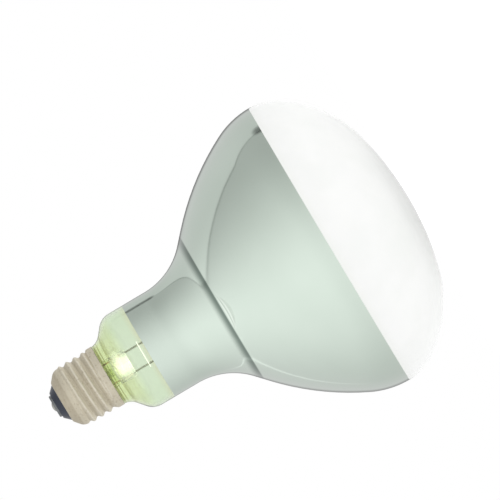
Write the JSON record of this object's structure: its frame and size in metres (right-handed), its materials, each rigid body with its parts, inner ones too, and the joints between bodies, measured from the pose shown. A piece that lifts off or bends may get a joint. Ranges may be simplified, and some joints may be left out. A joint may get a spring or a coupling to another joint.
{
  "type": "mercury vapor uvb lamp",
  "caption": "Self-ballasted mercury vapor reflector lamp with silvered cone, white frosted face, clear neck end and medium screw cap.",
  "frame": {"origin": "middle of the lamp's face, where it touches the surface it stands on", "axes": "+Z along the lamp's axis from the face to the screw cap; the two lead wires lie in the XZ plane, +X on the side of the lead that feeds the filament"},
  "size_m": [0.127, 0.127, 0.1664],
  "materials": {
    "bulb_glass": "clear, faintly green, glossy",
    "stem_glass": "clear, faintly yellow green",
    "reflector_film": "satin bright metal film seen through glass",
    "white_frosting": "matte white diffusing film",
    "quartz": "clear",
    "nickel_wire": "satin",
    "copper_wire": "drawn, plain",
    "molybdenum": "satin grey",
    "tungsten": "dark grey, coiled",
    "mica": "translucent, slightly amber",
    "white_ceramic": "unglazed",
    "cap_metal": "matte, nickel washed brass",
    "black_glass": "black, glossy",
    "contact_metal": "dull",
    "solder": "dull grey, smooth",
    "cement": "matte, granular"
  },
  "bodies": {
    "root": {"bulb_envelope": "bulb_glass", "stem_flare": "stem_glass", "exhaust_tube": "stem_glass", "reflector_coating": "reflector_film", "face_frosting": "white_frosting", "arc_tube": "quartz", "inner_lead_filament": "nickel_wire", "inner_lead_frame": "nickel_wire", "frame_rod": "nickel_wire", "filament_return_lead": "nickel_wire", "pinch_strap_upper": "nickel_wire", "pinch_strap_lower": "nickel_wire", "outer_lead_centre": "copper_wire", "outer_lead_side": "copper_wire", "seal_wire_filament": "copper_wire", "seal_wire_frame": "copper_wire", "filament_hook_1": "molybdenum", "filament_hook_2": "molybdenum", "filament_hook_3": "molybdenum", "filament_hook_4": "molybdenum", "filament_hook_5": "molybdenum", "main_foil_upper": "molybdenum", "main_foil_lower": "molybdenum", "probe_foil": "molybdenum", "main_pin_upper": "molybdenum", "main_pin_lower": "molybdenum", "probe_pin": "molybdenum", "ballast_filament": "tungsten", "main_electrode_upper": "tungsten", "main_electrode_lower": "tungsten", "electrode_coil_upper": "tungsten", "electrode_coil_lower": "tungsten", "starting_probe": "tungsten", "heat_shield": "mica", "hook_collar": "white_ceramic", "starting_resistor": "white_ceramic", "screw_shell": "cap_metal", "cap_insulator": "black_glass", "centre_contact": "contact_metal", "contact_solder": "solder", "side_solder": "solder", "basing_cement": "cement"}
  },
  "joints": []
}
